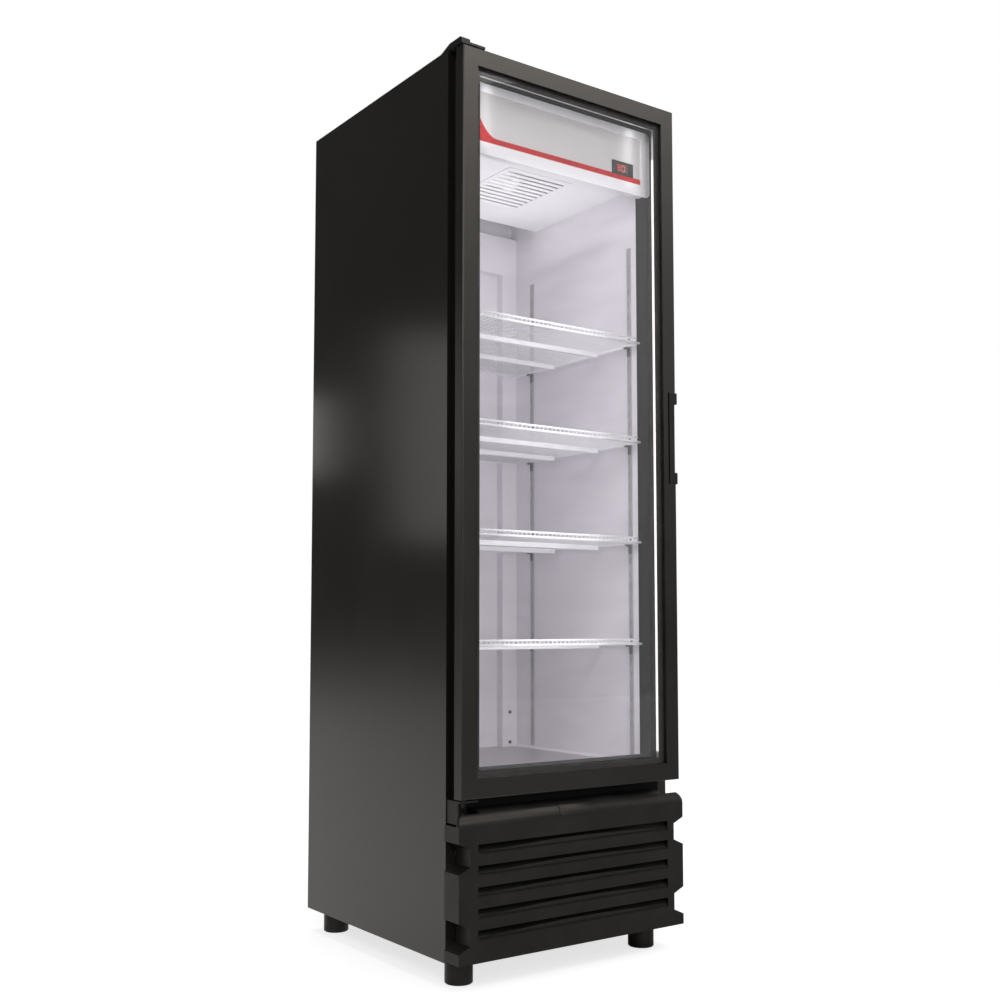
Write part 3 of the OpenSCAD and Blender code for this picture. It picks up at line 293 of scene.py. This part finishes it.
pilaster_grey = finish_surface(
    "pilaster_grey", (0.36, 0.355, 0.37), (0.44, 0.435, 0.45), (0.4, 0.5),
    patch=20.0)
clip_grey = finish_surface(
    "clip_grey", (0.10, 0.10, 0.11), (0.16, 0.16, 0.17), (0.4, 0.5),
    patch=60.0)
aluminium = finish_surface(
    "aluminium", (0.66, 0.67, 0.68), (0.8, 0.81, 0.82), (0.28, 0.4),
    patch=20.0, grain=700.0, Metallic=1.0)
coated_fins = finish_surface(
    "coated_fins", (0.62, 0.63, 0.65), (0.74, 0.75, 0.77), (0.3, 0.42),
    patch=20.0, grain=700.0, Metallic=0.2)
copper = finish_surface(
    "copper", (0.45, 0.2, 0.12), (0.72, 0.38, 0.24), (0.3, 0.45),
    patch=25.0, grain=700.0, bump=0.06, Metallic=1.0)
foam_cream = finish_surface(
    "foam_cream", (0.72, 0.66, 0.44), (0.84, 0.79, 0.58), (0.8, 0.95),
    patch=30.0, grain=500.0, bump=0.3)
display_dark = finish_surface(
    "display_dark", (0.02, 0.004, 0.004), (0.035, 0.006, 0.006), (0.1, 0.16),
    patch=60.0, bump=0.01)
glass = glass_material("glass", (0.975, 0.97, 0.975), (0.99, 0.985, 0.99), (0.97, 0.965, 0.97), 1.28)
led_white = glow_material("led_white", (1.0, 0.97, 0.93), 0.75)
digit_red = glow_material("digit_red", (0.75, 0.04, 0.03), 0.5)

LOOKS = {
    "left_side_panel": paint_black, "right_side_panel": paint_black, "top_panel": paint_black,
    # The front sill takes the darkest black, which paints the shadow gap under the door
    "back_panel": paint_black, "front_sill": black_and_painted_shade, "foam_walls": foam_cream,
    "liner_walls": liner_white, "liner_floor": floor_metal, "breaker_strips": black_and_painted_shade,
    "rear_posts": liner_white, "rear_header": liner_white, "shelf_pilasters": pilaster_grey,
    "shelf_clips": clip_grey, "canopy_tray": plastic_white, "intake_louvre": plastic_white,
    "sign_frame": plastic_white, "sign_panel": sign_silver, "thermostat_case": plastic_black,
    "thermostat_window": display_dark, "key_up": plastic_black, "key_down": plastic_black,
    "evaporator_coil": coated_fins, "evaporator_fan_motor": coated_fins, "evaporator_fan": plastic_white,
    "base_pan": paint_black, "base_rails": paint_black, "foot_front_left": plastic_black,
    "foot_front_right": plastic_black, "foot_rear_left": plastic_black, "foot_rear_right": plastic_black,
    "compressor": paint_black, "compressor_mounts": rubber_black, "condenser_coil": aluminium,
    "condenser_fan_shroud": paint_black, "condenser_fan_motor": paint_black, "condenser_fan": aluminium,
    "drain_pan": plastic_white, "refrigerant_lines": copper, "rear_cover": paint_black,
    "cord_gland": plastic_black, "front_grille": plastic_black, "upper_hinge_bracket": steel,
    "hinge_cover": plastic_black, "lower_hinge_bracket": plastic_black, "hinge_pins": steel_dark,
    "door_hinge_stile": frame_black, "door_handle_stile": frame_black, "door_rails": frame_black,
    "glass_panes": glass, "glass_spacer": aluminium, "edge_seal": seal_grey, "led_strips": led_white,
    "door_gasket": rubber_black, "door_handle": plastic_black, "hinge_bushes": plastic_white,
    "shelf_1": wire_white, "shelf_2": wire_white, "shelf_3": wire_white, "shelf_4": wire_white,
    "fasteners": steel_dark,
}
for node_name, look in LOOKS.items():
    NODES[node_name].data.materials.clear()
    NODES[node_name].data.materials.append(look)

# Softened edges, in metres, on the nodes whose edges catch the light
EDGE_ROUNDING = {
    "front_grille": 0.0012, "door_handle": 0.0015, "hinge_cover": 0.0012, "sign_frame": 0.0008,
    "door_hinge_stile": 0.0006, "door_handle_stile": 0.0006, "door_rails": 0.0006,
    "thermostat_case": 0.0005, "lower_hinge_bracket": 0.0006, "drain_pan": 0.0006,
    "foot_front_left": 0.0012, "foot_front_right": 0.0012,
    "foot_rear_left": 0.0012, "foot_rear_right": 0.0012,
}
# Points closer than the gap are joined first, and edges that turn by more than the angle are rounded
WELD_GAP = 0.00002
ROUNDING_STEPS = 2
LEAST_ANGLE = 40


def soften(node_name, width):
    node = NODES[node_name]
    weld = node.modifiers.new("weld", "WELD")
    weld.merge_threshold = WELD_GAP
    bevel = node.modifiers.new("bevel", "BEVEL")
    bevel.width = width
    bevel.segments = ROUNDING_STEPS
    bevel.limit_method = "ANGLE"
    bevel.angle_limit = math.radians(LEAST_ANGLE)
    bevel.harden_normals = True


for node_name, width in EDGE_ROUNDING.items():
    soften(node_name, width)


# Pieces made here

def add_mesh(name, bm, look, body):
    mesh = bpy.data.meshes.new(name)
    bm.normal_update()
    bm.to_mesh(mesh)
    bm.free()
    mesh.materials.append(look)
    piece = bpy.data.objects.new(name, mesh)
    scene.collection.objects.link(piece)
    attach(piece, body)
    return piece


def sweep(bm, path, radius, sides):
    """Round rod along a path, closed by flat ends."""
    points = [Vector(point) for point in path]
    rings = []
    side = None
    for i, point in enumerate(points):
        before = points[max(i - 1, 0)]
        after = points[min(i + 1, len(points) - 1)]
        along = (after - before).normalized()
        if side is None:
            side = along.orthogonal().normalized()
        side = (side - along * side.dot(along)).normalized()
        other = along.cross(side)
        ring = []
        for k in range(sides):
            angle = 2 * math.pi * k / sides
            ring.append(bm.verts.new(point + radius * (math.cos(angle) * side + math.sin(angle) * other)))
        rings.append(ring)
    for first, second in zip(rings, rings[1:]):
        for k in range(sides):
            after = (k + 1) % sides
            face = bm.faces.new((first[k], first[after], second[after], second[k]))
            face.smooth = True
    bm.faces.new(reversed(rings[0]))
    bm.faces.new(rings[-1])


def rounded_box(bm, low, high, rounding):
    """Box with rounded edges."""
    middle = [(a + b) / 2 for a, b in zip(low, high)]
    sizes = [b - a for a, b in zip(low, high)]
    place = Matrix.Translation(middle) @ Matrix.Diagonal((*sizes, 1.0))
    part = bmesh.new()
    bmesh.ops.create_cube(part, size=1.0, matrix=place)
    bmesh.ops.bevel(part, geom=part.edges[:], offset=rounding, segments=ROUNDING_STEPS, affect="EDGES",
                    profile=0.5)
    mesh = bpy.data.meshes.new("scratch")
    part.to_mesh(mesh)
    part.free()
    bm.from_mesh(mesh)
    bpy.data.meshes.remove(mesh)


def prism(bm, outline, near, far):
    """Flat solid between two planes across Y, from its outline in X and Z."""
    face = bm.faces.new([bm.verts.new((x, far, z)) for x, z in outline])
    grown = bmesh.ops.extrude_face_region(bm, geom=[face])
    moved = [item for item in grown["geom"] if isinstance(item, bmesh.types.BMVert)]
    bmesh.ops.translate(bm, verts=moved, vec=(0.0, near - far, 0.0))


# Wire shelves, in metres: sizes repeat those of the CAD shelves, and bars lie at shares of the depth
SHELF_COUNT = 4
ROD_R = 0.003
ROD_X = 0.251
ROD_BEND = 0.012
ROD_BEND_STEPS = 6
ROD_SIDES = 12
RAIL_R = 0.0025
RAIL_X = 0.247
WIRE_R = 0.0014
WIRE_SIDES = 8
WIRE_COUNT = 41
WIRE_SPAN = 0.484
FENCE_H = 0.013
FENCE_BEND = 0.006
FENCE_BEND_STEPS = 4
BAR_SIZE = 0.012
BAR_HALF = 0.240
BAR_ROUNDING = 0.002
BAR_SHARES = (0.29, 0.64)


def cross_rod(left, right, y, z):
    return [(left, y, z), (0.0, y, z), (right, y, z)]


def side_loop(front, back, deck):
    """Rod down one side, round the back and up the other side, with round corners."""
    path = [(-ROD_X, front, deck), (-ROD_X, back - ROD_BEND, deck)]
    for step in range(1, ROD_BEND_STEPS):
        angle = math.pi / 2 * step / ROD_BEND_STEPS
        x = -ROD_X + ROD_BEND * (1 - math.cos(angle))
        path.append((x, back - ROD_BEND * (1 - math.sin(angle)), deck))
    path.append((-ROD_X + ROD_BEND, back, deck))
    return path + [(-x, y, z) for x, y, z in reversed(path)]


def fence_wire(x, back, front, deck, top):
    """Deck wire that turns up at the front in a quarter bend."""
    path = [(x, back, deck), (x, (back + front) / 2, deck)]
    for step in range(FENCE_BEND_STEPS + 1):
        angle = math.pi / 2 * step / FENCE_BEND_STEPS
        y = front + FENCE_BEND * (1 - math.sin(angle))
        path.append((x, y, deck + FENCE_BEND * (1 - math.cos(angle))))
    path.append((x, front, top))
    return path


def wire_shelf(node_name):
    low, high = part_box(node_name)
    front = low[1] + ROD_R
    back = high[1] - ROD_R
    deck = high[2] - FENCE_H
    rail = high[2] - RAIL_R
    bm = bmesh.new()
    sweep(bm, cross_rod(low[0], high[0], front, deck), ROD_R, ROD_SIDES)
    sweep(bm, cross_rod(-RAIL_X, RAIL_X, front, rail), RAIL_R, ROD_SIDES)
    sweep(bm, side_loop(front, back, deck), ROD_R, ROD_SIDES)
    for i in range(WIRE_COUNT):
        x = -WIRE_SPAN / 2 + i * WIRE_SPAN / (WIRE_COUNT - 1)
        sweep(bm, fence_wire(x, back, front, deck, rail), WIRE_R, WIRE_SIDES)
    for share in BAR_SHARES:
        middle = low[1] + share * (high[1] - low[1])
        rounded_box(bm, (-BAR_HALF, middle - BAR_SIZE / 2, low[2]),
                    (BAR_HALF, middle + BAR_SIZE / 2, low[2] + BAR_SIZE), BAR_ROUNDING)
    shelf = add_mesh(f"wire_{node_name}", bm, wire_white, node_name)
    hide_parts(node_name)


for number in range(1, SHELF_COUNT + 1):
    wire_shelf(f"shelf_{number}")

# Red stripe along the foot of the sign panel, sweeping up at its left end
STRIPE_H = 0.015
STRIPE_T = 0.0004
STRIPE_INSET = 0.003
SWEEP_W = 0.07
SWEEP_H = 0.09
SWEEP_POWER = 2.2
SWEEP_STEPS = 16


def sign_stripe():
    low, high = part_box("sign_panel")
    left = low[0] + STRIPE_INSET
    right = high[0] - STRIPE_INSET
    base = low[2] + STRIPE_INSET
    outline = [(left, base), (right, base), (right, base + STRIPE_H)]
    for step in range(SWEEP_STEPS + 1):
        share = step / SWEEP_STEPS
        outline.append((left + SWEEP_W * (1 - share), base + STRIPE_H + SWEEP_H * share ** SWEEP_POWER))
    bm = bmesh.new()
    prism(bm, outline, low[1] - STRIPE_T, low[1])
    bmesh.ops.recalc_face_normals(bm, faces=bm.faces[:])
    add_mesh("sign_stripe", bm, stripe_red, "cabinet")


sign_stripe()

# Digits of seven bars. Each bar joins two corners of a digit, given as shares of its width and height
DIGIT_W = 0.0095
DIGIT_H = 0.014
DIGIT_PITCH = 0.0147
DIGIT_BAR = 0.0017
DIGIT_GAP = 0.0002
DIGIT_PROUD = 0.00015
DIGIT_SUNK = 0.0001
DIGIT_BARS = (((0, 1), (1, 1)), ((0, 0.5), (0, 1)), ((1, 0.5), (1, 1)), ((0, 0.5), (1, 0.5)),
              ((0, 0), (0, 0.5)), ((1, 0), (1, 0.5)), ((0, 0), (1, 0)))
# Which of those bars are lit
SEGMENTS = {"3": (1, 0, 1, 1, 0, 1, 1), "0": (1, 1, 1, 0, 1, 1, 1)}


def pointed_bar(start, end):
    """Outline of a bar whose ends come to a point."""
    along = (end - start).normalized()
    across = along.orthogonal() * DIGIT_BAR / 2
    tip = along * DIGIT_GAP
    shoulder = along * (DIGIT_GAP + DIGIT_BAR / 2)
    return [start + tip, start + shoulder + across, end - shoulder + across,
            end - tip, end - shoulder - across, start + shoulder - across]


def display_digits(text):
    low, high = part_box("thermostat_window")
    middle = Vector(((low[0] + high[0]) / 2, (low[2] + high[2]) / 2))
    size = Vector((DIGIT_W, DIGIT_H))
    bm = bmesh.new()
    for place, character in enumerate(text):
        corner = middle + Vector(((place - len(text) / 2) * DIGIT_PITCH, -DIGIT_H / 2))
        for lit, (start, end) in zip(SEGMENTS[character], DIGIT_BARS):
            if lit:
                outline = pointed_bar(corner + size * Vector(start), corner + size * Vector(end))
                prism(bm, outline, low[1] - DIGIT_PROUD, low[1] + DIGIT_SUNK)
    bmesh.ops.recalc_face_normals(bm, faces=bm.faces[:])
    add_mesh("display_digits", bm, digit_red, "cabinet")


display_digits("30")

# Bellows gasket: across its width from the outer edge, and out from the door, as shares of the CAD gasket
GASKET_W = 0.012
GASKET_PROFILE = (
    (0.08, 0.0), (0.08, 0.10), (0.02, 0.20), (0.22, 0.35), (0.02, 0.50), (0.22, 0.65),
    (0.0, 0.78), (0.0, 0.95), (0.05, 1.0), (0.95, 1.0), (1.0, 0.95), (1.0, 0.78),
    (0.78, 0.65), (0.98, 0.50), (0.78, 0.35), (0.98, 0.20), (0.92, 0.10), (0.92, 0.0))


def bellows_gasket():
    low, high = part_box("door_gasket")
    bm = bmesh.new()
    rings = []
    for side_x, side_z in ((-1, -1), (1, -1), (1, 1), (-1, 1)):
        ring = []
        for across, out in GASKET_PROFILE:
            x = low[0] + across * GASKET_W if side_x < 0 else high[0] - across * GASKET_W
            z = low[2] + across * GASKET_W if side_z < 0 else high[2] - across * GASKET_W
            ring.append(bm.verts.new((x, low[1] + out * (high[1] - low[1]), z)))
        rings.append(ring)
    for first, second in zip(rings, rings[1:] + rings[:1]):
        for k in range(len(GASKET_PROFILE)):
            after = (k + 1) % len(GASKET_PROFILE)
            bm.faces.new((first[k], first[after], second[after], second[k]))
    bmesh.ops.recalc_face_normals(bm, faces=bm.faces[:])
    gasket = add_mesh("bellows_gasket", bm, rubber_black, "door")
    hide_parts("door_gasket")


bellows_gasket()


# Stage and light

FLOOR_SIZE = 16.0
FLOOR_DARK = (0.46, 0.46, 0.46)
FLOOR_LIGHT = (0.5, 0.5, 0.5)
FLOOR_PATCH = 3.0
# Glow of the floor near the object and far from it, and the distances between which it rises
FLOOR_GLOW_NEAR = 0.72
FLOOR_GLOW_FAR = 0.85
FLOOR_GLOW_RANGE = (0.9, 4.0)
# Largest share of the glow that shows in mirrors, and the range of Y less X over which it rises
FLOOR_MIRRORED = 0.8
FLOOR_MIRRORED_RANGE = (-0.4, 0.3)


def add_floor():
    bpy.ops.mesh.primitive_plane_add(size=FLOOR_SIZE, location=(0.0, 0.0, 0.0))
    floor = bpy.context.object
    floor.name = "floor"
    tree = material_tree("floor")
    vector = tree.coordinates()
    mottling = tree.span(tree.noise(vector, FLOOR_PATCH), 0.0, 1.0)
    shader = tree.principled(Roughness=0.6)
    tree.link(tree.blend(mottling, FLOOR_DARK, FLOOR_LIGHT), shader.inputs["Base Color"])
    # The glow rises with distance, so the floor meets the background without an edge
    away = tree.add("ShaderNodeVectorMath", operation="LENGTH")
    tree.link(vector, away.inputs[0])
    level = tree.span(away.outputs["Value"], FLOOR_GLOW_NEAR, FLOOR_GLOW_FAR, FLOOR_GLOW_RANGE)
    # In mirrors the floor glows only on the left and behind, and the door and grille keep a dark foot
    axes = tree.split(vector)
    behind = tree.combine("SUBTRACT", axes["Y"], axes["X"])
    behind = tree.span(behind, 0.0, FLOOR_MIRRORED, FLOOR_MIRRORED_RANGE, smooth=True)
    path = tree.add("ShaderNodeLightPath").outputs
    direct = tree.combine("MAXIMUM", path["Is Camera Ray"], path["Is Transmission Ray"])
    seen = tree.combine("MAXIMUM", direct, tree.combine("MULTIPLY", path["Is Glossy Ray"], behind))
    glow = tree.add("ShaderNodeEmission")
    tree.link(tree.combine("MULTIPLY", seen, level), glow.inputs["Strength"])
    both = tree.add("ShaderNodeAddShader")
    tree.link(shader.outputs["BSDF"], both.inputs[0])
    tree.link(glow.outputs["Emission"], both.inputs[1])
    floor.data.materials.append(tree.show(both))


# Strength of the world as light, and in mirrors below the horizon, above it and high in front
WORLD_LIGHT = 0.35
WORLD_BELOW = 0.75
WORLD_ABOVE = 0.10
WORLD_FRONT = 1.1
# Ranges of a direction's Y and Z over which these give way to each other
WORLD_FRONT_RANGE = (-0.05, -0.45)
WORLD_BELOW_RANGE = (-0.075, -0.01)
WORLD_HIGH_RANGE = (0.0, 0.35)


def add_world():
    """White for the camera, and in mirrors pale below the horizon, dark above it and pale high in front."""
    scene.world = bpy.data.worlds.new("studio")
    tree = Tree(scene.world, "ShaderNodeOutputWorld")
    axes = tree.split(tree.add("ShaderNodeTexCoord").outputs["Generated"])
    front = tree.span(axes["Y"], 0.0, 1.0, WORLD_FRONT_RANGE, smooth=True)
    low = tree.span(axes["Z"], WORLD_BELOW - WORLD_ABOVE, 0.0, WORLD_BELOW_RANGE, smooth=True)
    high = tree.span(axes["Z"], 0.0, WORLD_FRONT, WORLD_HIGH_RANGE, smooth=True)
    mirrored = tree.combine("ADD", tree.pick(front, low, high), WORLD_ABOVE)
    path = tree.add("ShaderNodeLightPath").outputs
    direct = tree.combine("MAXIMUM", path["Is Camera Ray"], path["Is Transmission Ray"])
    level = tree.pick(direct, tree.pick(path["Is Glossy Ray"], WORLD_LIGHT, mirrored), 1.0)
    background = tree.add("ShaderNodeBackground")
    tree.feed(background.inputs["Color"], (1.0, 1.0, 1.0))
    tree.link(level, background.inputs["Strength"])
    tree.show(background)


def add_lamp(name, place, target, size, power):
    data = bpy.data.lights.new(name, "AREA")
    data.shape = "RECTANGLE"
    data.size = size[0]
    data.size_y = size[1]
    data.energy = power
    lamp = bpy.data.objects.new(name, data)
    lamp.location = place
    lamp.rotation_euler = (Vector(target) - Vector(place)).to_track_quat("-Z", "Y").to_euler()
    lamp.visible_camera = False
    lamp.visible_transmission = False
    scene.collection.objects.link(lamp)


# Lamps: place, point that they face, width and height, and power in watts
STUDIO_LAMPS = {
    "key": ((-3.2, -3.0, 3.2), (0.0, 0.0, 1.0), (1.8, 1.8), 80.0),
    "fill": ((2.0, -2.9, 4.4), (0.0, 0.0, 1.0), (2.4, 1.8), 56.0),
    "front": ((-0.1, -3.0, 1.3), (0.0, 0.0, 1.2), (1.0, 1.6), 20.0),
    "top": ((0.0, 0.4, 4.2), (0.0, 0.0, 0.0), (2.0, 2.0), 60.0),
}
# Dim soft boxes that show as highlights in the side panels
RIM_LAMPS = {
    "rim_narrow": ((-1.33, 2.66, 1.62), (-0.31, 0.25, 1.2), (0.24, 0.36), 0.7),
    "rim_broad": ((-1.86, 1.91, 1.55), (-0.31, -0.25, 1.1), (0.6, 0.9), 1.6),
    "rim_right": ((3.2, 0.8, 1.7), (0.31, 0.8, 1.5), (2.5, 0.9), 6.0),
}
# Inner lamps stand for the cabinet's own lighting, behind the door and round the canopy
INNER_LAMPS = {
    "inner_front": ((0.0, FACE_Y - 0.012, 1.1), (0.0, 0.3, 1.1), (0.30, 1.35), 0.71),
    "inner_up": ((0.0, -0.03, 1.7), (0.0, -0.03, 2.0), (0.46, 0.36), 0.29),
    "inner_back": ((0.0, 0.2, 1.55), (0.0, 0.2, 2.0), (0.4, 0.05), 0.06),
    "inner_coil": ((0.0, -0.03, 1.83), (0.0, -0.03, 2.0), (0.4, 0.3), 0.16),
}
# Lamps at both ends of the sign and down both sides of the door
SIGN_END_X = 0.21
SIGN_END_Y = FACE_Y - 0.014
SIGN_END_Z = 1.87
SIGN_END_SIZE = (0.02, 0.13)
SIGN_END_POWER = 0.009
DOOR_LIGHT_X = 0.235
DOOR_LIGHT_Y = FACE_Y - 0.013
DOOR_LIGHT_Z = 1.1
DOOR_LIGHT_SIZE = (0.008, 1.3)
DOOR_LIGHT_POWER = 0.12
# Where those of the door turn in to, and the depth that both face
DOOR_LIGHT_AIM_X = 0.2
AIM_Y = 0.3

add_floor()
add_world()
for lamps in (STUDIO_LAMPS, RIM_LAMPS, INNER_LAMPS):
    for lamp_name, settings in lamps.items():
        add_lamp(lamp_name, *settings)
for side in (-1, 1):
    add_lamp(f"sign_end_{side}", (side * SIGN_END_X, SIGN_END_Y, SIGN_END_Z),
             (side * SIGN_END_X, AIM_Y, SIGN_END_Z), SIGN_END_SIZE, SIGN_END_POWER)
    add_lamp(f"door_light_{side}", (side * DOOR_LIGHT_X, DOOR_LIGHT_Y, DOOR_LIGHT_Z),
             (side * DOOR_LIGHT_AIM_X, AIM_Y, DOOR_LIGHT_Z), DOOR_LIGHT_SIZE, DOOR_LIGHT_POWER)
